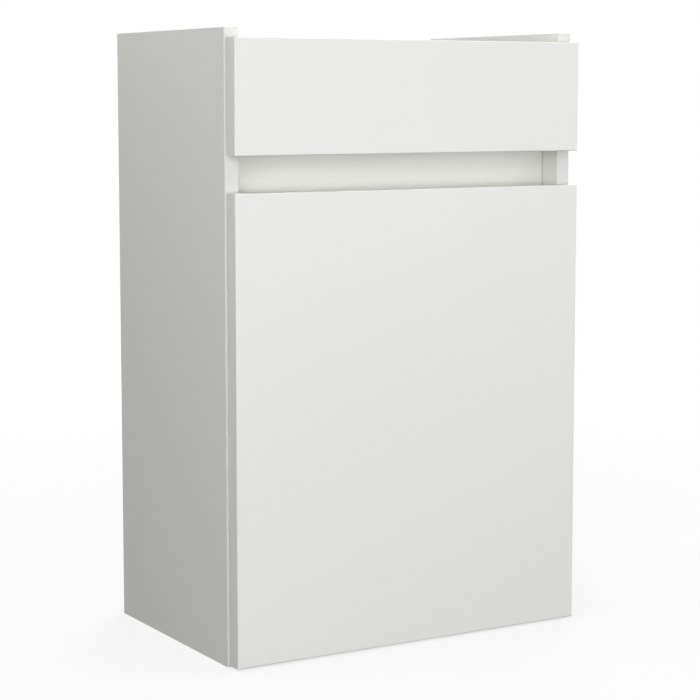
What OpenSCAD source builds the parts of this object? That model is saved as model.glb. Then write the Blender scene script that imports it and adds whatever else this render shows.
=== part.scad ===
// Wall-hung cloakroom vanity unit with one door, a fixed fascia and a recessed finger grip.
// X runs to the right, Y to the back and Z up. The origin is at the middle of the footprint, on the base.

/* [Carcass] */
// Width over the two side panels
unit_w = 400; // [340:5:600]
// Height of the side panels
unit_h = 610; // [540:5:760]
// Depth of the side panels, without the fronts
carcass_d = 240; // [210:5:400]
// Thickness of the carcass boards
board_t = 15; // [15:0.5:19]
// Radius worn on the long front edges of the boards
edge_r = 0.6; // [0.3:0.1:1.5]
// Height of the front rail behind the fascia
front_rail_h = 80; // [60:5:100]
// Distance of the front rail's top below the fascia's top
front_rail_drop = 20; // [5:1:28]
// Height of the two rear rails
rear_rail_h = 80; // [60:5:120]
// Height kept free for the hangers above the top rear rail
hanger_zone_h = 80; // [72:1:120]

/* [Fronts] */
// Thickness of the fascia and the door
front_t = 16.5; // [16:0.5:22]
// Radius of the fronts' edges
front_edge_r = 1; // [0.5:0.1:2]
// Gap between the fronts and the side panels' front edges
front_gap = 1; // [0.8:0.1:2]
// Distance of the fronts' ends inside the unit's sides
side_inset = 2; // [1:0.5:3]
// Distance of the fascia's top below the side panels' tops
fascia_drop = 9.5; // [4:0.5:20]
// Height of the fascia
fascia_h = 110; // [100:1:160]
// Height of the finger gap between the door and the fascia
grip_gap = 35; // [28:1:45]
// Distance of the door's bottom above the unit's base
door_lift = 1.5; // [1:0.5:6]
// Distance from the side panels' front edges back to the grip rail
grip_setback = 24; // [20:1:40]
// Height of the grip rail
grip_rail_h = 120; // [100:1:140]
// Distance that the grip rail reaches below the door's top
grip_lap = 30; // [20:1:40]

/* [Shelf] */
// Height of the shelf's underside above the base
shelf_z = 220; // [160:32:352]
// Depth of the shelf
shelf_d = 150; // [120:5:180]
// Distance of the shelf's front edge behind the side panels' front edges
shelf_setback = 45; // [42:1:60]
// Gap between each end of the shelf and its side panel
shelf_gap = 1; // [0.5:0.5:2]
// Diameter of a shelf pin
pin_d = 5; // [4:0.5:6]
// Distance between two shelf pin holes above each other
pin_pitch = 32; // [25:1:40]
// Number of shelf pin holes in a row
pin_rows = 3; // [3:2:5]

/* [Board joints] */
// Diameter of a dowel
dowel_d = 8; // [6:1:8]
// Length of a dowel
dowel_l = 34; // [30:1:40]
// Diameter of a cam lock
cam_d = 15; // [12:1:16]
// Depth of a cam lock
cam_depth = 12; // [11:0.5:12.5]
// Distance of a cam lock's centre from the end of its board
cam_reach = 24; // [20:1:34]
// Diameter of a cam bolt's shank
cam_bolt_d = 6; // [5:0.5:7]
// Depth of the joint holes in the faces of the side panels
side_hole_depth = 11; // [9:0.5:12]
// Clearance around a piece that is pushed into a drilled hole, on the radius
bore_clear = 0.1; // [0.05:0.05:0.3]

/* [Hinges] */
// Distance of each hinge's middle from the nearer end of the door
hinge_inset = 95; // [80:5:140]
// Diameter of the hinge cup
cup_d = 35; // [35:1:40]
// Depth of the cup's boring in the door
cup_depth = 11.5; // [11:0.1:12]
// Distance from the cup's boring to the door's edge
cup_edge = 5; // [4:0.5:6]
// Thickness of the steel sheet of the cups
cup_t = 0.8; // [0.6:0.1:1]
// Thickness of the steel sheet of the arms and links
link_t = 1.2; // [1:0.1:1.3]
// Distance from the hinge's middle to the inside of the arm's walls
arm_half = 4; // [3.5:0.1:4.5]
// Diameter of the link pins
link_pin_d = 2; // [1.8:0.1:2.2]
// Running clearance of a link pin in its hole, on the radius
pin_clear = 0.05; // [0.03:0.01:0.08]
// Sideways clearance between neighbouring sheets of a hinge
sheet_gap = 0.3; // [0.2:0.05:0.4]
// Depth of the mounting plates' screws behind the side panel's front edge
plate_setback = 37; // [34:1:40]

/* [Hangers] */
// Height of a hanger's housing
hanger_h = 60; // [50:1:64]
// Depth of a hanger's housing
hanger_d = 46; // [40:1:60]
// Width of a hanger's housing
hanger_w = 15; // [12:1:18]
// Length of a wall plate
wall_plate_l = 60; // [50:1:80]
// Height of a wall plate
wall_plate_h = 42; // [36:1:50]
// Thickness of a wall plate
wall_plate_t = 2; // [1.5:0.5:3]
// Distance between the two screw holes of a wall plate
wall_hole_pitch = 32; // [25:1:40]
// Diameter of a wall plate's screw holes
wall_hole_d = 6; // [5:0.5:8]

/* [Hidden] */
$fn = 48;

// Colours
board_colour = [0.93, 0.93, 0.92];
front_colour = [0.96, 0.96, 0.96];
steel_colour = [0.72, 0.73, 0.75];
plastic_colour = [0.86, 0.86, 0.84];
rubber_colour = [0.80, 0.80, 0.80];
wood_colour = [0.80, 0.66, 0.46];

// A cut reaches this far past the faces that it opens
past = 1;

// Planes across the depth
depth = carcass_d + front_gap + front_t;
back_y = depth / 2;
edge_y = back_y - carcass_d;
front_back_y = edge_y - front_gap;

// Planes across the width
side_out = unit_w / 2;
side_in = side_out - board_t;
front_w = unit_w - 2 * side_inset;

// Gap left at each end of the boards between the sides
end_gap = 0.2;
rail_l = 2 * (side_in - end_gap);

// Heights
fascia_top = unit_h - fascia_drop;
fascia_z = fascia_top - fascia_h;
door_top = fascia_z - grip_gap;
door_h = door_top - door_lift;
grip_z = door_top - grip_lap;
front_rail_z = fascia_top - front_rail_drop - front_rail_h;
top_rear_z = unit_h - hanger_zone_h - rear_rail_h;

// Upright boards between the sides: [middle in Y, bottom, height, side that the cams open to]
FRONT_RAIL = [edge_y + board_t / 2, front_rail_z, front_rail_h, 1];
GRIP_RAIL = [edge_y + grip_setback + board_t / 2, grip_z, grip_rail_h, 1];
TOP_REAR_RAIL = [back_y - board_t / 2, top_rear_z, rear_rail_h, -1];
BOTTOM_REAR_RAIL = [back_y - board_t / 2, board_t, rear_rail_h, -1];
RAILS = [FRONT_RAIL, GRIP_RAIL, TOP_REAR_RAIL, BOTTOM_REAR_RAIL];

// Joint places. Each rail end has a cam in the middle between two dowels
rail_dowel_reach = 22;
floor_dowel_y = [edge_y + 30, back_y - 60];
floor_cam_y = [edge_y + 60, back_y - 90];
rail_dowels = [for (r = RAILS) for (s = [-1, 1]) [r[0], r[1] + r[2] / 2 + s * rail_dowel_reach]];
rail_cams = [for (r = RAILS) [r[0], r[1] + r[2] / 2]];
side_dowels = concat(rail_dowels, [for (y = floor_dowel_y) [y, board_t / 2]]);
side_cams = concat(rail_cams, [for (y = floor_cam_y) [y, board_t / 2]]);

// Joint pieces
hole_rest = 0.5;
dowel_chamfer = 0.8;
cam_thread_d = 5;
cam_neck_d = 3.6;
cam_neck_l = 3;
cam_head_l = 2.5;
cam_slot_l = 9;
cam_slot_w = 1.6;
cam_slot_depth = 2.5;

// Shelf pins: a row in front and a row behind, the shelf on the middle hole of each
pin_hole_depth = 10;
pin_stem_l = 8;
pin_collar_d = 7.5;
pin_collar_t = 0.5;
pin_row_inset = 25;
shelf_y = edge_y + shelf_setback;
pin_rows_y = [shelf_y + pin_row_inset, shelf_y + shelf_d - pin_row_inset];
pin_z = shelf_z - pin_d / 2;
pin_levels = [for (i = [0 : pin_rows - 1]) pin_z + (i - (pin_rows - 1) / 2) * pin_pitch];

// Fascia fixings: screws through the front rail and a thin pad into the fascia's back
fascia_screw_d = 4;
fascia_screw_head_d = 8;
fascia_screw_head_t = 2.4;
fascia_screw_bite = 11;
fascia_pad_d = 18;
fascia_screw_inset = 50;
fascia_screw_reach = 22;
fascia_screws_xz = [
    for (s = [-1, 1]) for (t = [-1, 1])
        [s * (side_in - fascia_screw_inset), front_rail_z + front_rail_h / 2 + t * fascia_screw_reach]
];

// Door buffers on the leaf's free side
buffer_d = 9;
buffer_rest = 0.1;
buffer_inset = 30;

// Hinges, drawn in their own axes: U inward from the unit's side, V forward of the panel's front edge
HINGE_Z = [door_top - hinge_inset, door_lift + hinge_inset];
door_u = side_inset;
cup_u = door_u + cup_edge + cup_d / 2;
cup_floor_v = front_gap + cup_depth;
rim_t = front_gap - 0.3;
rim_w = 1.5;
wing_reach = 9.5;
wing_r = 7;
cup_screw_z = 22.5;
cup_screw_d = 3.4;
cup_screw_l = 11;
cup_screw_head_d = 6.6;
cup_screw_head_t = 1.8;

// Pivots with the door closed, from the cup's middle and from the door's back
cup_middle = [cup_u, front_gap];
arm_outer_pivot = cup_middle + [12, -10];
arm_inner_pivot = cup_middle + [12.9, 5.6];
cup_outer_pivot = cup_middle + [-12.8, 4.5];
cup_inner_pivot = cup_middle + [-9.2, 6.8];
outer_bend = cup_middle + [2, 16];
inner_bend = cup_middle + [5.5, 10];
// The inner link's cup end is the open pivot: its wide eye hangs beside the pin's middle
inner_end = cup_inner_pivot + [-0.25, 0.8];
open_eye_r = 1.85;
open_eye_wall = 0.75;
cup_pin_d = 1.6;
eye_r = 2.4;
cup_eye_r = 2;
ear_r = 2.1;
outer_link_half_w = 1.7;
inner_link_half_w = 1.6;
rivet_head_r = 1.6;
rivet_head_t = 0.4;
link_steps = 10;

// Layers of a hinge, from its middle outwards
inner_link_half = arm_half - sheet_gap;
arm_out = arm_half + link_t;
outer_link_in = arm_out + sheet_gap;
outer_link_out = outer_link_in + link_t;

// Arms and mounting plates
plate_t = 2;
plate_top_u = board_t + plate_t;
arm_foot_u = plate_top_u + 2;
arm_web_u = plate_top_u + 13;
arm_tail = 25;
arm_neck = 14;
arm_step = 5;
arm_back_v = -plate_setback - arm_tail;
arm_shoulder_v = -arm_neck;
web_front_v = -plate_setback + arm_neck;
nose_inset = 0.4;
nose_drop = 1.5;
saddle_front_v = -20;
saddle_tail = 21;
saddle_back_v = -plate_setback - saddle_tail;
plate_half_z = 7;
plate_wing_z = 16;
plate_wing_r = 7.5;
plate_screw_d = 5;
plate_screw_head_d = 8.5;
plate_screw_head_t = 2.2;
arm_screw_d = 5;
arm_screw_head_d = 7;
arm_screw_head_t = 1.6;
arm_screw_fore = 8;
arm_screw_aft = 14;
arm_screws_v = [arm_screw_fore - plate_setback, -arm_screw_aft - plate_setback];
arm_screw_bite = 8;

// Hangers in the top rear corners and the plates on the wall that they hook over
hanger_drop = 12;
hanger_inset = 9;
hanger_top_z = unit_h - hanger_drop;
hanger_z = hanger_top_z - hanger_h;
hanger_back_y = back_y - hanger_inset;
hanger_front_y = hanger_back_y - hanger_d;
hanger_front_wall = 6;
hanger_lid_wall = 3;
hanger_corner_r = 3;
hook_t = 2.5;
hook_x = 6;
hook_play = 1.5;
hook_bar_h = 5;
hook_gusset_h = 6;
hook_nose_h = 10;
hook_corner = 2;
lip_gap = 4;
lip_h = 14;
lip_drop = 12;
lip_top_z = hanger_top_z - lip_drop;
lip_clear = 0.3;
wall_plate_gap = 2;
wall_hole_rise = 10;
hanger_screw_d = 5;
hanger_screw_head_d = 8;
hanger_screw_head_t = 2;
hanger_screw_reach = 18;
hanger_screw_y = hanger_back_y - hanger_d / 2;
hanger_screws_z = [for (t = [-1, 1]) hanger_z + hanger_h / 2 + t * hanger_screw_reach];
adjuster_d = 6;
adjuster_head_t = 1.5;
adjuster_l = 7;
adjusters_z = [hanger_z + 0.28 * hanger_h, hanger_z + 0.72 * hanger_h];

function bezier(a, m, b, t) = (1 - t) * (1 - t) * a + 2 * t * (1 - t) * m + t * t * b;
function slope(a, m, b, t) = 2 * (1 - t) * (m - a) + 2 * t * (b - m);
function beside(a, m, b, t, w) =
    let (d = slope(a, m, b, t))
    bezier(a, m, b, t) + w * [-d[1], d[0]] / norm(d);
function arc(c, r, from, to, steps) =
    [for (i = [0 : steps]) let (angle = from + (to - from) * i / steps) c + r * [cos(angle), sin(angle)]];

// A rectangle from the origin whose four corners are rounded by short chords
module soft_rectangle(w, h, r) {
    polygon(concat(
        arc([r, r], r, 180, 270, 4),
        arc([w - r, r], r, 270, 360, 4),
        arc([w - r, h - r], r, 0, 90, 4),
        arc([r, h - r], r, 90, 180, 4)
    ));
}

// A front with its bottom at z and all its edges softened
module front_board(z, h) {
    translate([-front_w / 2, front_back_y - front_t, z]) intersection() {
        linear_extrude(h) soft_rectangle(front_w, front_t, front_edge_r);
        rotate([90, 0, 90]) linear_extrude(front_w) soft_rectangle(front_t, h, front_edge_r);
    }
}

// A round bar along X, from the middle outwards to side s, starting at x = from
module bar_x(s, from, y, z, d, l) {
    translate([s * from, y, z]) rotate([0, 90 * s, 0]) cylinder(d = d, h = l);
}

// A turned piece along X that points to side s: pairs of [radius, distance]
module turned_x(s, from, y, z, profile) {
    translate([s * from, y, z]) rotate([0, 90 * s, 0]) rotate_extrude() polygon(profile);
}

module at_hinge(z) {
    translate([side_out, edge_y, z]) rotate([0, 0, 180]) children();
}

// Both sheets of a pair that stand from "from" to "to" beside the hinge's middle
module sheet_pair(from, to) {
    for (s = [0, 1]) mirror([0, 0, s]) translate([0, 0, from]) linear_extrude(to - from) children();
}

// A hole in a side panel's inner face for a piece of diameter d
module side_bore(s, y, z, d, depth) {
    bar_x(s, side_in - past, y, z, d + 2 * bore_clear, depth + past);
}

module side_panel(s) {
    color(board_colour) difference() {
        translate([s > 0 ? side_in : -side_out, edge_y, 0]) linear_extrude(unit_h) polygon([
            [edge_r, 0], [board_t - edge_r, 0], [board_t, edge_r],
            [board_t, carcass_d], [0, carcass_d], [0, edge_r]
        ]);
        for (p = side_dowels) side_bore(s, p[0], p[1], dowel_d, side_hole_depth);
        for (p = side_cams) side_bore(s, p[0], p[1], cam_thread_d, side_hole_depth);
        for (y = pin_rows_y) for (z = pin_levels) side_bore(s, y, z, pin_d, pin_hole_depth);
        for (z = hanger_screws_z) side_bore(s, hanger_screw_y, z, hanger_screw_d, side_hole_depth);
        if (s > 0) for (z = HINGE_Z) for (t = [-1, 1])
            side_bore(s, edge_y + plate_setback, z + t * plate_wing_z, plate_screw_d, side_hole_depth);
    }
}
module left_side_panel() side_panel(-1);
module right_side_panel() side_panel(1);

module end_holes(s, y, z) {
    bar_x(s, side_in - dowel_l + side_hole_depth - hole_rest, y, z, dowel_d + 2 * bore_clear, dowel_l);
}
module bolt_hole(s, y, z) {
    bar_x(s, side_in - cam_reach, y, z, cam_bolt_d + 2 * bore_clear, cam_reach);
}

module rail(r) {
    middle_z = r[1] + r[2] / 2;
    color(board_colour) difference() {
        translate([-rail_l / 2, r[0] - board_t / 2, r[1]]) cube([rail_l, board_t, r[2]]);
        for (s = [-1, 1]) {
            for (t = [-1, 1]) end_holes(s, r[0], middle_z + t * rail_dowel_reach);
            bolt_hole(s, r[0], middle_z);
            cam_place(s, r[0] + r[3] * board_t / 2, middle_z, r[3])
                cylinder(d = cam_d + 2 * bore_clear, h = 2 * cam_depth, center = true);
        }
        if (r == FRONT_RAIL) for (p = fascia_screws_xz)
            translate([p[0], r[0], p[1]]) rotate([90, 0, 0])
                cylinder(d = fascia_screw_d + 4 * bore_clear, h = board_t + 2 * past, center = true);
    }
}
module front_rail() rail(FRONT_RAIL);
module grip_rail() rail(GRIP_RAIL);
module top_rear_rail() rail(TOP_REAR_RAIL);
module bottom_rear_rail() rail(BOTTOM_REAR_RAIL);

// Puts a cam on a rail's face: its own Z points out of the board
module cam_place(s, face_y, z, open) {
    translate([s * (side_in - cam_reach), face_y, z]) rotate([-90 * open, 0, 0]) children();
}
// Puts a cam on the underside of the bottom panel
module floor_cam_place(s, y) {
    translate([s * (side_in - cam_reach), y, 0]) rotate([180, 0, 0]) children();
}

module bottom_panel() {
    color(board_colour) difference() {
        translate([-rail_l / 2, edge_y, 0]) cube([rail_l, carcass_d, board_t]);
        for (s = [-1, 1]) {
            for (y = floor_dowel_y) end_holes(s, y, board_t / 2);
            for (y = floor_cam_y) {
                bolt_hole(s, y, board_t / 2);
                floor_cam_place(s, y) cylinder(d = cam_d + 2 * bore_clear, h = 2 * cam_depth, center = true);
            }
        }
    }
}

module shelf() {
    l = 2 * (side_in - shelf_gap);
    color(board_colour) translate([-l / 2, shelf_y, shelf_z]) rotate([90, 0, 90]) linear_extrude(l) polygon([
        [edge_r, 0], [shelf_d, 0], [shelf_d, board_t], [edge_r, board_t], [0, board_t - edge_r], [0, edge_r]
    ]);
}

module shelf_pins() {
    r = pin_d / 2;
    inside = pin_hole_depth - hole_rest;
    color(steel_colour) for (s = [-1, 1]) for (y = pin_rows_y) turned_x(s, side_in - pin_stem_l, y, pin_z, [
        [0, 0], [r - hole_rest, 0], [r, hole_rest], [r, pin_stem_l - pin_collar_t],
        [pin_collar_d / 2, pin_stem_l - pin_collar_t], [pin_collar_d / 2, pin_stem_l],
        [r, pin_stem_l], [r, pin_stem_l + inside], [0, pin_stem_l + inside]
    ]);
}

module dowels() {
    r = dowel_d / 2;
    c = dowel_chamfer;
    color(wood_colour) for (s = [-1, 1]) for (p = side_dowels)
        turned_x(s, side_in + side_hole_depth - hole_rest - dowel_l, p[0], p[1], [
            [0, 0], [r - c, 0], [r, c], [r, dowel_l - c], [r - c, dowel_l], [0, dowel_l]
        ]);
}

module cam_bolts() {
    head = cam_bolt_d / 2;
    neck = cam_neck_d / 2;
    thread = cam_thread_d / 2;
    a = cam_head_l;
    b = a + cam_neck_l;
    c = cam_reach + cam_head_l / 2;
    e = c + side_hole_depth - hole_rest;
    color(steel_colour) for (s = [-1, 1]) for (p = side_cams)
        turned_x(s, side_in - c, p[0], p[1], [
            [0, 0], [head, 0], [head, a], [neck, a], [neck, b],
            [head, b], [head, c], [thread, c], [thread, e], [0, e]
        ]);
}

// One cam with its face on the XY plane and the bolt's channel towards +X
module cam_lock(toward) {
    difference() {
        translate([0, 0, -cam_depth]) cylinder(d = cam_d, h = cam_depth);
        translate([0, 0, -board_t / 2]) rotate([0, 90 * toward, 0])
            translate([0, 0, -cam_head_l]) cylinder(d = cam_bolt_d + 6 * bore_clear, h = cam_d);
        for (a = [0, 90]) rotate([0, 0, a])
            cube([cam_slot_l, cam_slot_w, 2 * cam_slot_depth], center = true);
    }
}
module cam_locks() {
    color(steel_colour) for (s = [-1, 1]) {
        for (r = RAILS) cam_place(s, r[0] + r[3] * board_t / 2, r[1] + r[2] / 2, r[3]) cam_lock(s);
        for (y = floor_cam_y) floor_cam_place(s, y) cam_lock(s);
    }
}

module fascia() {
    color(front_colour) difference() {
        front_board(fascia_z, fascia_h);
        for (p = fascia_screws_xz) translate([p[0], front_back_y + past, p[1]]) rotate([90, 0, 0])
            cylinder(d = fascia_screw_d + 2 * bore_clear, h = fascia_screw_bite + hole_rest + past);
    }
}

module fascia_pads() {
    color(plastic_colour) for (p = fascia_screws_xz) translate([p[0], edge_y, p[1]]) rotate([90, 0, 0])
        difference() {
            cylinder(d = fascia_pad_d, h = front_gap);
            translate([0, 0, -past]) cylinder(d = fascia_screw_d + 4 * bore_clear, h = front_gap + 2 * past);
        }
}

module fascia_screws() {
    l = board_t + front_gap + fascia_screw_bite;
    color(steel_colour) for (p = fascia_screws_xz)
        translate([p[0], edge_y + board_t, p[1]]) rotate([90, 0, 0])
            screw(fascia_screw_d, l, fascia_screw_head_d, fascia_screw_head_t);
}

// A screw along Z with its head's seat on the XY plane and the head below it
module screw(d, l, head_d, head_t) {
    r = d / 2;
    point = d / 2;
    recess = head_d / 4;
    rotate_extrude() polygon([
        [0, 0], [recess, -head_t], [head_d / 2 - head_t / 2, -head_t], [head_d / 2, -head_t / 3],
        [head_d / 2, 0], [r, 0], [r, l - point], [0, l]
    ]);
}

module door() {
    color(front_colour) difference() {
        front_board(door_lift, door_h);
        for (z = HINGE_Z) at_hinge(z) {
            translate([cup_u, cup_floor_v, 0]) rotate([90, 0, 0]) cylinder(d = cup_d, h = cup_depth + past);
            for (t = [-1, 1]) translate([cup_u + wing_reach, front_gap - past, t * cup_screw_z])
                rotate([-90, 0, 0])
                    cylinder(d = cup_screw_d + 2 * bore_clear, h = cup_screw_l + hole_rest + past);
        }
    }
}

module door_buffers() {
    x = -side_in - board_t / 2;
    color(rubber_colour) for (z = [door_lift + buffer_inset, door_top - buffer_inset])
        translate([x, front_back_y, z]) rotate([-90, 0, 0])
            cylinder(d1 = buffer_d, d2 = buffer_d - 1, h = front_gap - buffer_rest);
}

// The ears that hold the cup's two pins stand on its floor
module ear_outline() {
    foot_u = cup_outer_pivot[0] - ear_r + hole_rest;
    foot_l = cup_inner_pivot[0] + ear_r - hole_rest - foot_u;
    foot_h = cup_floor_v - cup_t / 2 - cup_outer_pivot[1];
    difference() {
        union() {
            translate(cup_outer_pivot) circle(r = ear_r);
            translate(cup_inner_pivot) circle(r = ear_r);
            translate([foot_u, cup_outer_pivot[1]]) square([foot_l, foot_h]);
        }
        translate(cup_outer_pivot) circle(d = link_pin_d + 2 * pin_clear);
        translate(cup_inner_pivot) circle(d = cup_pin_d + 2 * pin_clear);
    }
}

module hinge_cup(z) {
    outer_r = cup_d / 2 - bore_clear;
    color(steel_colour) at_hinge(z) {
        difference() {
            union() {
                translate([cup_u, cup_floor_v - bore_clear, 0]) rotate([90, 0, 0])
                    cylinder(r = outer_r, h = cup_depth - bore_clear);
                translate([cup_u, front_gap, 0]) rotate([90, 0, 0]) linear_extrude(rim_t) {
                    circle(r = cup_d / 2 + rim_w);
                    translate([wing_reach - wing_r, -cup_screw_z]) square([2 * wing_r, 2 * cup_screw_z]);
                    for (t = [-1, 1]) translate([wing_reach, t * cup_screw_z]) circle(r = wing_r);
                }
            }
            translate([cup_u, cup_floor_v - cup_t, 0]) rotate([90, 0, 0])
                cylinder(r = outer_r - cup_t, h = cup_depth + rim_t + past);
            for (t = [-1, 1]) translate([cup_u + wing_reach, 0, t * cup_screw_z]) rotate([-90, 0, 0])
                cylinder(d = cup_screw_d + 2 * bore_clear, h = 4 * front_gap, center = true);
        }
        sheet_pair(arm_half, arm_out) ear_outline();
    }
}
module upper_hinge_cup() hinge_cup(HINGE_Z[0]);
module lower_hinge_cup() hinge_cup(HINGE_Z[1]);

module cup_screws() {
    color(steel_colour) for (z = HINGE_Z) at_hinge(z) for (t = [-1, 1])
        translate([cup_u + wing_reach, front_gap - rim_t, t * cup_screw_z]) rotate([-90, 0, 0])
            screw(cup_screw_d, cup_screw_l, cup_screw_head_d, cup_screw_head_t);
}

module cup_pins() {
    color(steel_colour) for (z = HINGE_Z) at_hinge(z) translate([cup_inner_pivot[0], cup_inner_pivot[1], 0])
        cylinder(d = cup_pin_d, h = 2 * arm_out, center = true);
}

module arm_outline() {
    a = arm_outer_pivot;
    b = arm_inner_pivot;
    difference() {
        union() {
            polygon([
                [arm_foot_u, arm_back_v], [arm_web_u, arm_back_v], [arm_web_u, web_front_v],
                a + [eye_r - nose_inset, -nose_drop], b + [eye_r - nose_inset, 0],
                b + [nose_inset - eye_r, 0], a + [nose_inset - eye_r, 0],
                [arm_foot_u + arm_step, arm_shoulder_v], [arm_foot_u, arm_shoulder_v - arm_step]
            ]);
            translate(a) circle(r = eye_r);
            translate(b) circle(r = eye_r);
        }
        for (p = [a, b]) translate(p) circle(d = link_pin_d + 2 * pin_clear);
    }
}

module hinge_arm(z) {
    web_l = web_front_v - arm_back_v;
    color(steel_colour) at_hinge(z) {
        sheet_pair(arm_half, arm_out) arm_outline();
        difference() {
            translate([arm_web_u - link_t, arm_back_v, -arm_half - link_t / 2])
                cube([link_t, web_l, 2 * arm_half + link_t]);
            for (v = arm_screws_v) translate([arm_web_u, v, 0]) rotate([0, 90, 0])
                cylinder(d = arm_screw_d + 4 * bore_clear, h = 4 * link_t, center = true);
        }
    }
}
module upper_hinge_arm() hinge_arm(HINGE_Z[0]);
module lower_hinge_arm() hinge_arm(HINGE_Z[1]);

module hinge_plate(z) {
    saddle_l = saddle_front_v - saddle_back_v;
    saddle_top = arm_web_u - link_t;
    color(steel_colour) at_hinge(z) difference() {
        union() {
            translate([board_t, 0, 0]) rotate([90, 0, 90]) linear_extrude(plate_t) {
                translate([saddle_back_v, -plate_half_z]) square([saddle_l, 2 * plate_half_z]);
                translate([-plate_setback - plate_wing_r, -plate_wing_z])
                    square([2 * plate_wing_r, 2 * plate_wing_z]);
                for (t = [-1, 1]) translate([-plate_setback, t * plate_wing_z]) circle(r = plate_wing_r);
            }
            translate([board_t, saddle_back_v, -inner_link_half])
                cube([saddle_top - board_t, saddle_l, 2 * inner_link_half]);
        }
        for (t = [-1, 1]) translate([board_t, -plate_setback, t * plate_wing_z]) rotate([0, 90, 0])
            cylinder(d = plate_screw_d + 2 * bore_clear, h = 4 * plate_t, center = true);
        for (v = arm_screws_v) translate([saddle_top - arm_screw_bite, v, 0]) rotate([0, 90, 0])
            cylinder(d = arm_screw_d + 2 * bore_clear, h = arm_screw_bite + past);
    }
}
module upper_hinge_plate() hinge_plate(HINGE_Z[0]);
module lower_hinge_plate() hinge_plate(HINGE_Z[1]);

module plate_screws() {
    l = plate_t + side_hole_depth - hole_rest;
    color(steel_colour) for (z = HINGE_Z) at_hinge(z) for (t = [-1, 1])
        translate([plate_top_u, -plate_setback, t * plate_wing_z]) rotate([0, -90, 0])
            screw(plate_screw_d, l, plate_screw_head_d, plate_screw_head_t);
}

module arm_screws() {
    l = link_t + arm_screw_bite - hole_rest;
    color(steel_colour) for (z = HINGE_Z) at_hinge(z) for (v = arm_screws_v)
        translate([arm_web_u, v, 0]) rotate([0, -90, 0])
            screw(arm_screw_d, l, arm_screw_head_d, arm_screw_head_t);
}

// A link's strap follows a curve from a to b that is pulled towards m
module strap(a, m, b, half_w) {
    polygon(concat(
        [for (i = [0 : link_steps]) beside(a, m, b, i / link_steps, half_w)],
        [for (i = [link_steps : -1 : 0]) beside(a, m, b, i / link_steps, -half_w)]
    ));
}

module outer_link(z) {
    color(steel_colour) at_hinge(z) sheet_pair(outer_link_in, outer_link_out) difference() {
        union() {
            strap(arm_outer_pivot, outer_bend, cup_outer_pivot, outer_link_half_w);
            translate(arm_outer_pivot) circle(r = eye_r);
            translate(cup_outer_pivot) circle(r = cup_eye_r);
        }
        for (p = [arm_outer_pivot, cup_outer_pivot]) translate(p) circle(d = link_pin_d + 2 * pin_clear);
    }
}
module upper_outer_link() outer_link(HINGE_Z[0]);
module lower_outer_link() outer_link(HINGE_Z[1]);

module outer_link_pins(z) {
    color(steel_colour) at_hinge(z) {
        translate([arm_outer_pivot[0], arm_outer_pivot[1], 0]) {
            cylinder(d = link_pin_d, h = 2 * outer_link_out, center = true);
            sheet_pair(outer_link_out, outer_link_out + rivet_head_t) circle(r = rivet_head_r);
        }
        translate([cup_outer_pivot[0], cup_outer_pivot[1], 0]) {
            sheet_pair(arm_half, outer_link_out) circle(d = link_pin_d);
            sheet_pair(outer_link_out, outer_link_out + rivet_head_t) circle(r = rivet_head_r);
        }
    }
}
module upper_outer_link_pins() outer_link_pins(HINGE_Z[0]);
module lower_outer_link_pins() outer_link_pins(HINGE_Z[1]);

module inner_link(z) {
    h = 2 * inner_link_half;
    a = [arm_inner_pivot[0], arm_inner_pivot[1], 0];
    b = [inner_end[0], inner_end[1], 0];
    color(steel_colour) at_hinge(z) translate([0, 0, -inner_link_half]) difference() {
        union() {
            linear_extrude(h) strap(arm_inner_pivot, inner_bend, inner_end, inner_link_half_w);
            translate(a) cylinder(r = eye_r, h = h);
            translate(b) cylinder(r = open_eye_r + open_eye_wall, h = h);
        }
        translate([a[0], a[1], -past]) cylinder(d = link_pin_d + 2 * pin_clear, h = h + 2 * past);
        translate([b[0], b[1], -past]) cylinder(r = open_eye_r, h = h + 2 * past);
    }
}
module upper_inner_link() inner_link(HINGE_Z[0]);
module lower_inner_link() inner_link(HINGE_Z[1]);

module inner_link_pin(z) {
    color(steel_colour) at_hinge(z) translate([arm_inner_pivot[0], arm_inner_pivot[1], 0])
        cylinder(d = link_pin_d, h = 2 * arm_out, center = true);
}
module upper_inner_link_pin() inner_link_pin(HINGE_Z[0]);
module lower_inner_link_pin() inner_link_pin(HINGE_Z[1]);

// Places a hanger piece on side s, its own X pointing inward from the side panel's face
module at_hanger(s) {
    translate([s * side_in, 0, 0]) mirror([s > 0 ? 1 : 0, 0, 0]) children();
}

module hanger_housing(s) {
    color(plastic_colour) at_hanger(s) difference() {
        translate([0, hanger_front_y, hanger_z]) rotate([90, 0, 90]) linear_extrude(hanger_w)
            soft_rectangle(hanger_d, hanger_h, hanger_corner_r);
        translate([hook_x - lip_clear, hanger_front_y + hanger_front_wall, hanger_z + hanger_front_wall])
            cube([hook_t + 2 * lip_clear, hanger_d, hanger_h - hanger_front_wall - hanger_lid_wall]);
        for (z = hanger_screws_z) translate([-past, hanger_screw_y, z]) rotate([0, 90, 0])
            cylinder(d = hanger_screw_d + 2 * bore_clear, h = hanger_w + 2 * past);
        for (z = adjusters_z) translate([hook_x + hook_t / 2, hanger_front_y - past, z]) rotate([-90, 0, 0])
            cylinder(d = adjuster_d + 2 * bore_clear, h = hanger_front_wall + 2 * past);
    }
}
module left_hanger_housing() hanger_housing(-1);
module right_hanger_housing() hanger_housing(1);

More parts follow.
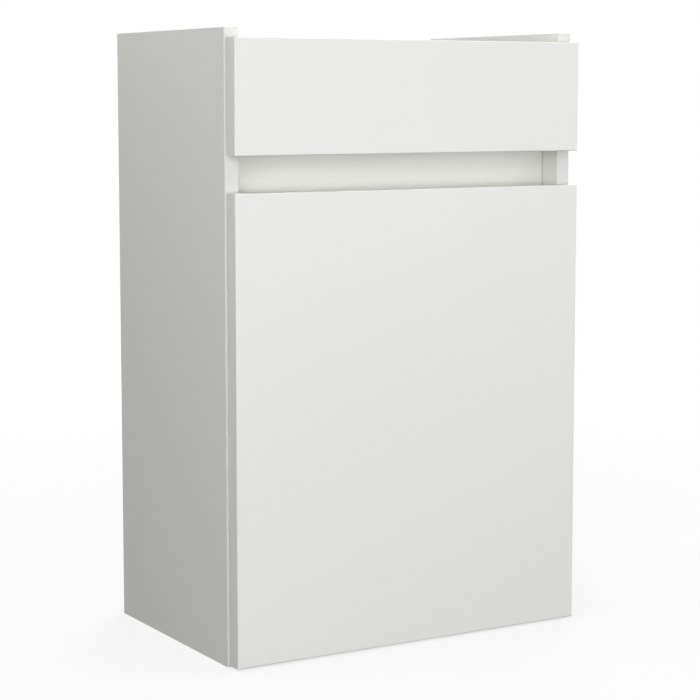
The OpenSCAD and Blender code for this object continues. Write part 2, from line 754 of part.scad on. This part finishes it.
module hanger_hook(s) {
    front_y = hanger_front_y + hanger_front_wall + hook_play;
    foot_z = hanger_z + hanger_front_wall + hook_play;
    spine_y = hanger_back_y - hook_corner;
    slot_front_y = back_y - lip_gap - wall_plate_t - lip_clear;
    slot_back_y = back_y - lip_gap + lip_clear;
    nose_y = back_y - hook_play;
    bar_z = lip_top_z + lip_clear;
    top_z = bar_z + hook_bar_h;
    color(steel_colour) at_hanger(s) translate([hook_x, 0, 0]) rotate([90, 0, 90]) linear_extrude(hook_t)
        difference() {
            polygon([
                [front_y, foot_z], [spine_y, foot_z], [spine_y, bar_z - hook_gusset_h],
                [slot_front_y, bar_z - hook_gusset_h + hook_corner], [slot_front_y, bar_z],
                [slot_back_y, bar_z], [slot_back_y, bar_z - hook_nose_h],
                [nose_y, bar_z - hook_nose_h + hook_corner], [nose_y, top_z - hook_corner],
                [nose_y - hook_corner, top_z], [front_y, top_z]
            ]);
            for (z = hanger_screws_z) translate([hanger_screw_y, z]) circle(d = hanger_screw_head_d);
        }
}
module left_hanger_hook() hanger_hook(-1);
module right_hanger_hook() hanger_hook(1);

module hanger_screws() {
    l = hanger_w + side_hole_depth - hole_rest;
    color(steel_colour) for (s = [-1, 1]) at_hanger(s) {
        for (z = hanger_screws_z) translate([hanger_w, hanger_screw_y, z]) rotate([0, -90, 0])
            screw(hanger_screw_d, l, hanger_screw_head_d, hanger_screw_head_t);
        for (z = adjusters_z) translate([hook_x + hook_t / 2, hanger_front_y, z]) rotate([-90, 0, 0])
            screw(adjuster_d, adjuster_l, hanger_screw_head_d, adjuster_head_t);
    }
}

module wall_plate(s) {
    foot_z = lip_top_z - wall_plate_h;
    step_z = lip_top_z - lip_h;
    lip_back_y = back_y - lip_gap;
    color(steel_colour) at_hanger(s) difference() {
        translate([wall_plate_gap, 0, 0]) rotate([90, 0, 90]) linear_extrude(wall_plate_l) polygon([
            [back_y, foot_z], [back_y, step_z - lip_gap], [lip_back_y, step_z], [lip_back_y, lip_top_z],
            [lip_back_y - wall_plate_t, lip_top_z], [lip_back_y - wall_plate_t, step_z - wall_plate_t / 2],
            [back_y - wall_plate_t, step_z - lip_gap - wall_plate_t / 2], [back_y - wall_plate_t, foot_z]
        ]);
        for (t = [-1, 1]) translate([
            wall_plate_gap + wall_plate_l / 2 + t * wall_hole_pitch / 2, back_y, foot_z + wall_hole_rise
        ]) rotate([90, 0, 0]) cylinder(d = wall_hole_d, h = 4 * wall_plate_t, center = true);
    }
}
module left_wall_plate() wall_plate(-1);
module right_wall_plate() wall_plate(1);

left_side_panel();
right_side_panel();
bottom_panel();
front_rail();
grip_rail();
top_rear_rail();
bottom_rear_rail();
shelf();
shelf_pins();
dowels();
cam_bolts();
cam_locks();
fascia();
fascia_pads();
fascia_screws();
door();
door_buffers();
upper_hinge_cup();
lower_hinge_cup();
cup_screws();
cup_pins();
upper_hinge_arm();
lower_hinge_arm();
upper_hinge_plate();
lower_hinge_plate();
plate_screws();
arm_screws();
upper_outer_link();
lower_outer_link();
upper_outer_link_pins();
lower_outer_link_pins();
upper_inner_link();
lower_inner_link();
upper_inner_link_pin();
lower_inner_link_pin();
left_hanger_housing();
right_hanger_housing();
left_hanger_hook();
right_hanger_hook();
hanger_screws();
left_wall_plate();
right_wall_plate();
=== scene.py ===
import math

import bpy
import numpy as np
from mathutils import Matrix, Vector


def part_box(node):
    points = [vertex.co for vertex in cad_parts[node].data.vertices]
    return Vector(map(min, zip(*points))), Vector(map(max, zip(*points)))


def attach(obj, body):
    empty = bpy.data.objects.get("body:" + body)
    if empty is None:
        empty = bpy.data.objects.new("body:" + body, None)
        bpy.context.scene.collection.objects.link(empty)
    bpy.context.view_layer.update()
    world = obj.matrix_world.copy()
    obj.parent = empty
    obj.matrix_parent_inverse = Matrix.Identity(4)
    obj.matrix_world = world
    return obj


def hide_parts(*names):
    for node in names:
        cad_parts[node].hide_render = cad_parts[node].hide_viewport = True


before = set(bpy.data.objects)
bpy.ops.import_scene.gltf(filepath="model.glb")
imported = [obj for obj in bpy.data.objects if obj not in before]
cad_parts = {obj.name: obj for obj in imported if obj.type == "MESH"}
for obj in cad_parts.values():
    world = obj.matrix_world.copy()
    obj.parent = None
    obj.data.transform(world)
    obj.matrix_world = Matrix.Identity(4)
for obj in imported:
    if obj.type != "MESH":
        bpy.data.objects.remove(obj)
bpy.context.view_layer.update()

# Camera. The photograph was taken from the front left with a long lens, its eye just above the
# finger gap. The small lens shift stands for part of the photograph's own, and a tilt for the rest.
eye_place = (-1.0679, -1.8045, 0.5460)
eye_turn = math.radians(30.678)
eye_tilt = math.radians(-6.167)
eye_lens = 104.13
eye_film = 36
eye_shift = -0.05

camera = bpy.data.objects.new("photo_camera", bpy.data.cameras.new("photo_camera"))
camera.data.sensor_width = eye_film
camera.data.lens = eye_lens
camera.data.shift_y = eye_shift
camera.location = eye_place
camera.rotation_euler = (math.pi / 2 + eye_tilt, 0, -eye_turn)
bpy.context.scene.collection.objects.link(camera)
bpy.context.scene.camera = camera
bpy.context.scene.view_settings.view_transform = "Standard"


# Studio floor. A pale sheet of paper under the unit that fades into the bright background, so it
# takes the unit's soft contact shadow and shows no edge or horizon.
class Wire:
    """An output of a node, or with no socket just the tree.

    Operators add a Math node, and node adds any other.
    """

    def __init__(self, tree, socket=None):
        self.tree = tree
        self.socket = socket

    def node(self, kind, settings=None, values=None, output=0):
        """Adds a node: its settings first, then its sockets' values or links."""
        made = self.tree.nodes.new(kind)
        for name, value in (settings or {}).items():
            setattr(made, name, value)
        self.feed(made, values or {})
        return Wire(self.tree, made.outputs[output])

    def feed(self, node, values):
        """Sets or links a node's sockets, by name or by number."""
        for name, value in values.items():
            socket = node.inputs[name]
            if isinstance(value, Wire):
                self.tree.links.new(value.socket, socket)
            elif socket.type == "RGBA":
                socket.default_value = (*value, 1)
            else:
                socket.default_value = value

    def math(self, operation, *values):
        return self.node("ShaderNodeMath", {"operation": operation}, dict(enumerate(values)))

    def __add__(self, other):
        return self.math("ADD", self, other)

    def __radd__(self, other):
        return self.math("ADD", other, self)

    def __sub__(self, other):
        return self.math("SUBTRACT", self, other)

    def __rsub__(self, other):
        return self.math("SUBTRACT", other, self)

    def __mul__(self, other):
        return self.math("MULTIPLY", self, other)

    def __rmul__(self, other):
        return self.math("MULTIPLY", other, self)

    def __gt__(self, other):
        return self.math("GREATER_THAN", self, other)

    def __lt__(self, other):
        return self.math("LESS_THAN", self, other)

    def abs(self):
        return self.math("ABSOLUTE", self)

    def most(self, other):
        return self.math("MAXIMUM", self, other)

    def rise(self, low, high):
        """0 below low, 1 above high, and a smooth step between them."""
        return self.node("ShaderNodeMapRange", {"interpolation_type": "SMOOTHSTEP"},
                         {"Value": self, "From Min": low, "From Max": high})

    def part(self, index):
        """X, Y or Z of a vector, for index 0, 1 or 2."""
        return self.node("ShaderNodeSeparateXYZ", None, {0: self}, index)


def colour_mix(amount, first, second):
    """The colour first where amount is 0, second where it is 1."""
    return amount.node("ShaderNodeMix", {"data_type": "RGBA"}, {0: amount, 6: first, 7: second}, 2)


def noise(place, scale, detail):
    """A soft random tone from 0 to 1, with scale lumps to the metre."""
    return place.node("ShaderNodeTexNoise", None,
                      {"Vector": place, "Scale": scale, "Detail": detail})


def bump(height, strength, distance):
    """The normal of a surface that height raises by up to distance, in metres."""
    return height.node("ShaderNodeBump", None,
                       {"Strength": strength, "Distance": distance, "Height": height})


def new_finish(name):
    """A material, its Principled shader, and a Wire that reads Object coordinates in metres."""
    made = bpy.data.materials.new(name)
    made.use_nodes = True
    shader = next(n for n in made.node_tree.nodes if n.type == "BSDF_PRINCIPLED")
    place = Wire(made.node_tree).node("ShaderNodeTexCoord", None, None, "Object")
    return made, shader, place


def new_piece(name, points, faces, finish):
    """A smooth-shaded mesh object. Each face is a list of point numbers."""
    mesh = bpy.data.meshes.new(name)
    mesh.from_pydata(np.asarray(points, float).tolist(), [], faces)
    mesh.polygons.foreach_set("use_smooth", np.full(len(mesh.polygons), True))
    mesh.materials.append(finish)
    mesh.update()
    piece = bpy.data.objects.new(name, mesh)
    bpy.context.scene.collection.objects.link(piece)
    return piece


floor_half = 12.0
floor_drop = 0.0004             # the paper lies this far under the unit
floor_fade = (0.45, 1.5)        # from the origin, where the paper starts and ends turning to glow
paper_white = (0.86, 0.86, 0.86)
paper_dim = (0.10, 0.10, 0.10)
paper_rough = 0.9
paper_shine = 0.1
glow_colour = (1.0, 1.0, 1.0)
glow_white = 1.0
glow_near = 0.72                # the share of glow in the paper's tone near the unit
glow_mirrored = 0.35            # how bright the paper is in a mirror, as a share of what is seen

floor_finish, floor_shader, floor_place = new_finish("floor_paper")
floor_far = floor_place.node("ShaderNodeVectorMath", {"operation": "LENGTH"},
                             {0: floor_place}, "Value")
floor_seen = floor_place.node("ShaderNodeLightPath", None, None, "Is Camera Ray")
floor_mirrored = floor_place.node("ShaderNodeLightPath", None, None, "Is Glossy Ray")
# The paper is white to the eye, a middle grey in the metal's reflections, and throws little light
# back on the unit
floor_shown = floor_seen + glow_mirrored * floor_mirrored
floor_fibre = noise(floor_place, scale=260.0, detail=3.0)
floor_place.feed(floor_shader, {
    "Base Color": colour_mix(floor_shown, paper_dim, paper_white),
    "Roughness": paper_rough,
    "Specular IOR Level": paper_shine,
    "Normal": bump(floor_fibre, strength=0.04, distance=0.0003)})
floor_glow = floor_place.node("ShaderNodeEmission", None, {
    "Color": glow_colour, "Strength": glow_white * floor_shown})
floor_both = floor_place.node("ShaderNodeMixShader", None, {
    0: glow_near + (1.0 - glow_near) * floor_far.rise(*floor_fade),
    1: Wire(floor_place.tree, floor_shader.outputs[0]), 2: floor_glow})
floor_out = next(n for n in floor_place.tree.nodes if n.type == "OUTPUT_MATERIAL")
floor_place.feed(floor_out, {0: floor_both})
floor_corners = np.array([[-1, -1, 0], [1, -1, 0], [1, 1, 0], [-1, 1, 0]]) * floor_half
floor = new_piece("studio_floor", floor_corners - [0, 0, floor_drop], [[0, 1, 2, 3]], floor_finish)

# Studio light. Soft boxes round the unit: a high one and a low one in front, two small ones level
# with the finger gap, one on the right, two on the left, one overhead and two behind. The camera
# sees a white background in place of the dim room, and the metal mirrors walls of a middle grey.
room_white = (1.0, 1.0, 1.0)
room_light = 0.12               # how bright the room is as light on the unit
room_shine = 0.5                # how bright its metal mirrors the room
box_aim = np.array([0, 0, 0.35])    # the point that the boxes face
soft_boxes = [                  # name, place, side in metres, watts
    ("box_front_left", (-1.5, -2.0, 1.3), 1.2, 24.2),
    ("box_front_low", (-0.2, -2.2, 0.15), 0.8, 11.4),
    ("box_gap_left", (-1.2, -2.6, 0.46), 0.5, 9.2),
    ("box_gap_right", (1.4, -2.4, 0.46), 0.5, 6.2),
    ("box_left_low", (-1.9, -1.2, 0.2), 0.8, 7.8),
    ("box_right", (2.230, -1.287, 0.712), 1.6, 21.5),
    ("box_left", (-1.057, 0.092, 1.411), 1.0, 2.2),
    ("box_top", (0.0, -0.1, 2.9), 2.0, 37.0),
    ("box_back_left", (-1.0, 3.0, 1.9), 2.0, 34.0),
    ("box_back_right", (2.4, 2.8, 1.8), 2.0, 55.0),
]
for box_name, box_place, box_size, box_power in soft_boxes:
    box_light = bpy.data.lights.new(box_name, "AREA")
    box_light.shape = "SQUARE"
    box_light.size = box_size
    box_light.energy = box_power
    soft_box = bpy.data.objects.new(box_name, box_light)
    aim_x, aim_y, aim_z = box_aim - np.array(box_place)
    soft_box.location = box_place
    soft_box.rotation_euler = (math.atan2(math.hypot(aim_x, aim_y), -aim_z), 0,
                               math.atan2(-aim_x, aim_y))
    soft_box.visible_camera = False
    bpy.context.scene.collection.objects.link(soft_box)

room = bpy.data.worlds.new("studio_room")
room.use_nodes = True
bpy.context.scene.world = room
room_wire = Wire(room.node_tree)
room_seen = room_wire.node("ShaderNodeLightPath", None, None, "Is Camera Ray")
room_mirrored = room_wire.node("ShaderNodeLightPath", None, None, "Is Glossy Ray")
room_back = next(n for n in room.node_tree.nodes if n.type == "BACKGROUND")
room_wire.feed(room_back, {
    "Color": room_white,
    "Strength": room_light + (glow_white - room_light) * room_seen
                + (room_shine - room_light) * room_mirrored})

# Carcass boards. Chipboard faced with white melamine foil, its seen edges covered by a glued edge
# band. The edges towards the wall and the insides of the drilled holes are left raw.
melamine_white = (0.830, 0.834, 0.797)
melamine_shade = 0.985          # the foil's darker clouds, as a share of its white
melamine_rough, cloud_rougher, raw_rougher = 0.42, 0.10, 0.35
melamine_shine = 0.4
band_white = (0.735, 0.737, 0.72)
band_thick = 0.0008
glue_tone = (0.52, 0.51, 0.48)
glue_strength = 0.55
glue_reach = (0.00006, 0.00022)     # from the middle of the glue line, where it fades out
glue_sink = 2.0
chip_light = (0.62, 0.47, 0.29)
chip_dark = (0.30, 0.19, 0.10)
chip_coarse_scale, chip_fine_scale = 620.0, 1700.0
chip_stretch = (1.0, 1.0, 0.45)     # the chips lie about twice as long up the panels
chip_layers = (0.002, 0.0065)       # from the board's middle, where coarse chips turn to fine ones
fine_share_core, fine_share_more = 0.35, 0.5
chip_tone_core, chip_tone_more = 0.62, 0.5
chip_height = 5.0
raw_depth = 0.0006              # how far in from the wall's side an edge still counts as raw
raw_facing = (0.6, 0.8)         # how squarely a raw edge faces the wall
hole_under_foil = 0.0004        # past the foil of the faces, only a hole's inside is left
hole_under_band = 0.0012        # and past the bands of the edges
# Painted shade: the dark line painted on the boards where they meet the side panels
joint_shade_colour = (0.56, 0.555, 0.505)
joint_shade_reach = (0.0012, 0.0030)   # from a side panel, where the seam fades out
joint_shade_facing = 0.5               # a cut end itself faces the side panel and takes no seam


def clouded(amount, colour, shade):
    """The colour where amount is 0, and its share shade where amount is 1."""
    return colour_mix(amount, colour, [c * shade for c in colour])


def cells(place, scale):
    """A random tone for each cell of a Voronoi pattern, with scale cells to the metre."""
    tint = place.node("ShaderNodeTexVoronoi", None, {"Vector": place, "Scale": scale}, "Color")
    return place.node("ShaderNodeRGBToBW", None, {0: tint})


def dress(finish, *names):
    """Gives these CAD nodes their finish."""
    for name in names:
        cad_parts[name].data.materials.clear()
        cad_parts[name].data.materials.append(finish)


side_low, side_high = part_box("right_side_panel")
base_low, base_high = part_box("bottom_panel")
board_finish, board_shader, board_place = new_finish("melamine_board")
board_x, board_y, board_z = (board_place.part(i) for i in range(3))
board_normal = board_place.node("ShaderNodeNewGeometry", None, None, "True Normal")
board_out = board_x.abs()
in_side = board_out > side_low.x
# The raw edges: the side panels' and the bottom panel's edges towards the wall
rear_edge = in_side.most(board_z < base_high.z)
faces_back = (board_normal.part(1).rise(*raw_facing) * (board_y > side_high.y - raw_depth)
              * rear_edge)
in_hole = ((board_out > side_low.x + hole_under_foil) * (board_out < side_high.x - hole_under_foil)
           * (board_y > side_low.y + hole_under_band) * (board_y < side_high.y - hole_under_band)
           * (board_z < side_high.z - hole_under_band) * (board_z > hole_under_band))
raw_wood = faces_back.most(in_hole)
# Pressed chips: coarse and dark in the middle of the board's thickness, fine and pale towards its
# faces. A side panel's thickness runs along X and the bottom panel's along Z.
chip_place = board_place.node("ShaderNodeMapping", None,
                              {"Vector": board_place, "Scale": chip_stretch})
off_middle = (in_side * (board_out - (side_low.x + side_high.x) / 2).abs()
              + (1.0 - in_side) * (board_z - (base_low.z + base_high.z) / 2).abs())
chip_fine = off_middle.rise(*chip_layers)
fine_share = fine_share_core + fine_share_more * chip_fine
chip_mixed = (cells(chip_place, chip_coarse_scale) * (1.0 - fine_share)
              + cells(chip_place, chip_fine_scale) * fine_share)
chip_tone = chip_mixed * (chip_tone_core + chip_tone_more * chip_fine)
chip_colour = colour_mix(chip_tone, chip_dark, chip_light)
# A thin glue line shows where the edge band meets the faces
glue_off = (board_y - side_low.y - band_thick).abs()
glue_line = (1.0 - glue_off.rise(*glue_reach)) * glue_strength
on_band = board_y < side_low.y + band_thick
# Painted shade: a thin dark line on a board's faces where it butts against a side panel
end_off = (board_out - side_low.x).abs()
joint_shade = ((1.0 - end_off.rise(*joint_shade_reach)) * (board_out < side_low.x)
            * (board_normal.part(0).abs() < joint_shade_facing))
foil_grain = noise(board_place, scale=1900.0, detail=2.0)
foil_cloud = noise(board_place, scale=9.0, detail=3.0)
foil_colour = colour_mix(on_band, clouded(foil_cloud, melamine_white, melamine_shade), band_white)
faced_colour = colour_mix(glue_line, foil_colour, glue_tone)
board_colour = colour_mix(raw_wood, faced_colour, chip_colour)
board_height = (foil_grain * (1.0 - raw_wood) + chip_height * chip_tone * raw_wood
                - glue_sink * glue_line)
board_place.feed(board_shader, {
    # The painted joint shade darkens the base colour next to the side panels
    "Base Color": colour_mix(joint_shade, board_colour, joint_shade_colour),
    "Roughness": melamine_rough + cloud_rougher * foil_cloud + raw_rougher * raw_wood,
    "Specular IOR Level": melamine_shine,
    "Normal": bump(board_height, strength=0.35, distance=0.00005)})
dress(board_finish, "left_side_panel", "right_side_panel", "bottom_panel", "front_rail",
      "grip_rail", "top_rear_rail", "bottom_rear_rail", "shelf")

# Fascia and door. Fibreboard fronts sprayed with white satin lacquer, their edges rounded with the
# same paint on them. The spray leaves a very fine, even texture.
lacquer_white = (0.836, 0.838, 0.819)
lacquer_shade = 0.99
lacquer_rough, lacquer_rougher = 0.36, 0.08
lacquer_shine = 0.45

front_finish, front_shader, front_place = new_finish("front_lacquer")
front_flow = noise(front_place, scale=420.0, detail=2.0)
front_cloud = noise(front_place, scale=6.0, detail=2.0)
front_place.feed(front_shader, {
    "Base Color": clouded(front_cloud, lacquer_white, lacquer_shade),
    "Roughness": lacquer_rough + lacquer_rougher * front_cloud,
    "Specular IOR Level": lacquer_shine,
    "Normal": bump(front_flow, strength=0.12, distance=0.00004)})
dress(front_finish, "fascia", "door")

# Hinges. Arms, cups, links and plates are pressed from steel strip and nickel plated: bright, with
# fine level drawing lines, slightly duller clouds and softly rounded edges.
nickel_tone = (0.66, 0.64, 0.60)
nickel_dull = (0.50, 0.485, 0.46)
nickel_rough, nickel_rougher = 0.26, 0.16
nickel_stretch = (0.1, 0.1, 1.0)    # draws the lines out along X and Y
strip_rounding = 0.00015
weld_reach = 1e-6
sharp_edge = math.radians(40)
hinge_parts = ("upper_hinge_cup", "lower_hinge_cup", "upper_hinge_arm", "lower_hinge_arm",
               "upper_hinge_plate", "lower_hinge_plate", "upper_outer_link", "lower_outer_link",
               "upper_inner_link", "lower_inner_link")


def soften(width, *names):
    """Rounds the sharp edges of these CAD nodes and evens the light over their curved faces.

    The loose triangles are welded, each edge sharper than sharp_edge gets a rounding of this width,
    and the normals are weighted by the faces' areas, so flat faces stay flat and bent ones run
    smooth.
    """
    for name in names:
        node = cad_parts[name]
        node.modifiers.new("weld", "WELD").merge_threshold = weld_reach
        rounding = node.modifiers.new("rounding", "BEVEL")
        rounding.width = width
        rounding.segments = 2
        rounding.limit_method = "ANGLE"
        rounding.angle_limit = sharp_edge
        node.modifiers.new("even_light", "WEIGHTED_NORMAL").keep_sharp = False


nickel_finish, nickel_shader, nickel_place = new_finish("nickel_steel")
nickel_drawn = nickel_place.node("ShaderNodeMapping", None,
                                 {"Vector": nickel_place, "Scale": nickel_stretch})
nickel_lines = noise(nickel_drawn, scale=3500.0, detail=2.0)
nickel_cloud = noise(nickel_place, scale=120.0, detail=3.0)
nickel_place.feed(nickel_shader, {
    "Base Color": colour_mix(nickel_cloud, nickel_tone, nickel_dull),
    "Metallic": 1.0,
    "Roughness": nickel_rough + nickel_rougher * nickel_cloud,
    "Normal": bump(nickel_lines, strength=0.15, distance=0.00003)})
dress(nickel_finish, *hinge_parts)
soften(strip_rounding, *hinge_parts)

# Hooks, wall plates, cams, rivets and pins. Zinc-plated steel and zinc castings: a cool grey with a
# soft spangle and a slight yellow and blue cast from the passivation.
zinc_cool = (0.60, 0.615, 0.64)
zinc_warm = (0.64, 0.625, 0.58)
zinc_rough, zinc_rougher = 0.38, 0.05
hook_rounding = 0.00025

zinc_finish, zinc_shader, zinc_place = new_finish("zinc_steel")
zinc_spangle = cells(zinc_place, 260.0)
zinc_cloud = noise(zinc_place, scale=60.0, detail=4.0)
zinc_place.feed(zinc_shader, {
    "Base Color": colour_mix(zinc_cloud, zinc_cool, zinc_warm),
    "Metallic": 1.0,
    "Roughness": zinc_rough + zinc_rougher * zinc_spangle,
    "Normal": bump(zinc_cloud, strength=0.05, distance=0.00001)})
dress(zinc_finish, "left_wall_plate", "right_wall_plate", "left_hanger_hook", "right_hanger_hook",
      "shelf_pins", "cam_bolts", "cam_locks", "cup_pins", "upper_outer_link_pins",
      "lower_outer_link_pins", "upper_inner_link_pin", "lower_inner_link_pin")
soften(hook_rounding, "left_hanger_hook", "right_hanger_hook")

# Screws. Zinc-plated steel with low domed heads and a cross recess. They hold the hinges' cups to
# the door, the plates to the side panel, the arms to the plates, and the fascia to the front rail.
screw_sides = 48                # points in each ring
face_rings = 12
face_start = 0.02               # the innermost ring of the head's face, as a share of its radius
face_share = 0.93               # the face's radius, as a share of the head's
face_fall = 0.22                # how far the face falls to its edge, as a share of the thickness
rim_radii = (0.975, 1.0, 1.0)   # the rim's rings, from the face's edge down to the seat
rim_heights = (0.62, 0.42, 0.0)
tip_radius = 0.0002
bar_half = 0.17                 # half a bar's width, as a share of the head's radius
bar_edge, bar_wall = 1.5, 0.7   # where a bar's wall starts and how wide it is, in half widths
bar_reach = 0.66                # a bar's length from the middle, as a share of the head's radius
bar_end = 0.25                  # the sloped end of a bar, as a share of its length
cross_sink = 0.75               # the cross's depth, as a share of the head's thickness


def screw_surface(seat, axis, head_radius, head_thick, shank_radius, length):
    """Points and faces of one screw on a level axis, as a grid of rings round the axis.

    A point is seat + r (cos t side + sin t other) + (d + sink) axis. The profile gives each ring's
    radius r and its distance d along the axis from the head's seat, t is the turn, and side and
    other are square to the axis. On the head's face the sink is the cross's depth times two
    factors, which fall from 1 to 0 across the walls of two crossing bars and towards their ends.
    """
    dome = np.linspace(face_start, 1.0, face_rings)
    face_r = head_radius * face_share * dome
    face_d = -head_thick * (1 - face_fall * dome ** 2)
    rim_r = head_radius * np.array(rim_radii)
    rim_d = -head_thick * np.array(rim_heights)
    shank_r = np.array([shank_radius, shank_radius, tip_radius])
    shank_d = np.array([0.0, length - shank_radius, length])
    radius = np.concatenate([face_r, rim_r, shank_r])
    along = np.concatenate([face_d, rim_d, shank_d])
    turn = np.linspace(0, 2 * np.pi, screw_sides, endpoint=False)
    a = radius[:, None] * np.cos(turn)
    b = radius[:, None] * np.sin(turn)
    bar = head_radius * bar_half
    reach = head_radius * bar_reach
    across = np.minimum(np.abs(a), np.abs(b))
    in_bar = np.clip((bar * bar_edge - across) / (bar * bar_wall), 0, 1)
    in_reach = np.clip((reach - np.hypot(a, b)) / (reach * bar_end), 0, 1)
    on_face = (np.arange(len(radius)) < face_rings)[:, None]
    depth = along[:, None] + in_bar * in_reach * head_thick * cross_sink * on_face
    axis = np.array(axis, float)
    side = np.cross(axis, [0, 0, 1])
    other = np.cross(axis, side)
    points = (np.array(seat) + a[..., None] * side + b[..., None] * other
              + depth[..., None] * axis)
    rings = np.arange(len(radius) - 1)[:, None] * screw_sides
    here = np.arange(screw_sides)[None, :]
    beyond = (here + 1) % screw_sides
    faces = np.stack([rings + here, rings + beyond, rings + screw_sides + beyond,
                      rings + screw_sides + here], -1).reshape(-1, 4).tolist()
    faces.append(list(range(screw_sides))[::-1])
    faces.append([(len(radius) - 1) * screw_sides + i for i in range(screw_sides)])
    return points.reshape(-1, 3), faces


def screw_set(name, screws, body, node):
    """One piece of several screws that stands for their CAD node and rides on its body.

    Each screw is a seat, an axis and a size, and the size is the head's radius and thickness, the
    shank's radius and the length.
    """
    points, faces = [], []
    for seat, axis, size in screws:
        some_points, some_faces = screw_surface(seat, axis, *size)
        faces += [[i + len(points) for i in face] for face in some_faces]
        points += some_points.tolist()
    piece = new_piece(name, points, faces, zinc_finish)
    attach(piece, body)
    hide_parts(node)


panel_front = side_low.y
panel_face = side_low.x
cup_boxes = [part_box("upper_hinge_cup"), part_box("lower_hinge_cup")]
cup_low, cup_high = cup_boxes[0]
hinge_middles = [(low.z + high.z) / 2 for low, high in cup_boxes]
rail_low, rail_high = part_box("front_rail")
rail_middle = (rail_low.z + rail_high.z) / 2

# The cup's screws are 45 mm apart and 9.5 mm off its middle
cup_screw = (0.0033, 0.0018, 0.0017, 0.011)
cup_screw_x = (cup_low.x + cup_high.x) / 2 - 0.0095
cup_screw_rise = 0.0225
screw_set("cup_screw_heads",
          [((cup_screw_x, cup_high.y, z + s * cup_screw_rise), (0, -1, 0), cup_screw)
           for z in hinge_middles for s in (-1, 1)], "door_leaf", "cup_screws")

# The plate is 2 mm thick, and its screws are 32 mm apart in the line 37 mm behind the panel's front
plate_screw = (0.00425, 0.0022, 0.0025, 0.0125)
plate_screw_x = panel_face - 0.002
plate_screw_y = panel_front + 0.037
plate_screw_rise = 0.016
screw_set("plate_screw_heads",
          [((plate_screw_x, plate_screw_y, z + s * plate_screw_rise), (1, 0, 0), plate_screw)
           for z in hinge_middles for s in (-1, 1)], "carcass", "plate_screws")

# The arm's screws sit on its top, 15 mm off the panel
arm_screw = (0.0035, 0.0016, 0.0025, 0.0087)
arm_screw_x = panel_face - 0.015
arm_screw_inset = (0.029, 0.051)
screw_set("arm_screw_heads",
          [((arm_screw_x, panel_front + y, z), (1, 0, 0), arm_screw)
           for z in hinge_middles for y in arm_screw_inset], "carcass", "arm_screws")

# The fascia's screws go through the front rail from behind, 50 mm from the side panels
fascia_screw = (0.004, 0.0024, 0.002, 0.027)
fascia_screw_x = panel_face - 0.05
fascia_screw_rise = 0.022
screw_set("fascia_screw_heads",
          [((s * fascia_screw_x, rail_high.y, rail_middle + t * fascia_screw_rise), (0, -1, 0),
            fascia_screw) for s in (-1, 1) for t in (-1, 1)], "carcass", "fascia_screws")

# Hangers and pads. White moulded housings in the top rear corners, screwed to the side panels, and
# the fascia's thin pads. The moulding has a fine spark-eroded texture. Two screws fix each housing,
# and two more in its front adjust the hook.
plastic_white = (0.76, 0.76, 0.74)
plastic_shade = 0.95
plastic_rough, plastic_rougher = 0.40, 0.12
housing_rounding = 0.0005

plastic_finish, plastic_shader, plastic_place = new_finish("white_plastic")
plastic_grain = noise(plastic_place, scale=2600.0, detail=2.0)
plastic_flow = noise(plastic_place, scale=40.0, detail=2.0)
plastic_place.feed(plastic_shader, {
    "Base Color": clouded(plastic_flow, plastic_white, plastic_shade),
    "Roughness": plastic_rough + plastic_rougher * plastic_grain,
    "Normal": bump(plastic_grain, strength=0.3, distance=0.00004)})
dress(plastic_finish, "left_hanger_housing", "right_hanger_housing", "fascia_pads")
soften(housing_rounding, "left_hanger_housing", "right_hanger_housing")

# The fixing screws sit on the housing's inner face, the adjusters on its front
hanger_low, hanger_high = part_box("right_hanger_housing")
hanger_middle = (hanger_low + hanger_high) / 2
fixing_screw = (0.004, 0.002, 0.0025, 0.0255)
fixing_rise = 0.018
adjuster = (0.004, 0.0015, 0.003, 0.007)
adjuster_x = panel_face - 0.00725
adjuster_rise = 0.22 * (hanger_high.z - hanger_low.z)
screw_set("hanger_screw_heads",
          [((s * hanger_low.x, hanger_middle.y, hanger_middle.z + t * fixing_rise), (s, 0, 0),
            fixing_screw) for s in (-1, 1) for t in (-1, 1)]
          + [((s * adjuster_x, hanger_low.y, hanger_middle.z + t * adjuster_rise), (0, 1, 0),
              adjuster) for s in (-1, 1) for t in (-1, 1)], "carcass", "hanger_screws")

# Door buffers. Small clear silicone studs, slightly tapered, stuck on the door's back at its free
# side.
rubber_tone = (0.78, 0.79, 0.78)
rubber_shade = 0.92
rubber_rough, rubber_rougher = 0.18, 0.15
rubber_clear = 0.35

rubber_finish, rubber_shader, rubber_place = new_finish("clear_rubber")
rubber_haze = noise(rubber_place, scale=300.0, detail=2.0)
rubber_place.feed(rubber_shader, {
    "Base Color": clouded(rubber_haze, rubber_tone, rubber_shade),
    "Roughness": rubber_rough + rubber_rougher * rubber_haze,
    "Transmission Weight": rubber_clear})
dress(rubber_finish, "door_buffers")

# Dowels. Beech pins with chamfered ends, glued into the board joints, with the grain along them.
# They lie along X, so the grain is drawn out that way.
beech_light = (0.66, 0.48, 0.30)
beech_dark = (0.48, 0.31, 0.17)
beech_rough, beech_rougher = 0.55, 0.2
beech_stretch = (0.06, 1.0, 1.0)

beech_finish, beech_shader, beech_place = new_finish("beech_dowel")
beech_drawn = beech_place.node("ShaderNodeMapping", None,
                               {"Vector": beech_place, "Scale": beech_stretch})
beech_grain = noise(beech_drawn, scale=900.0, detail=3.0)
beech_place.feed(beech_shader, {
    "Base Color": colour_mix(beech_grain, beech_light, beech_dark),
    "Roughness": beech_rough + beech_rougher * beech_grain})
dress(beech_finish, "dowels")
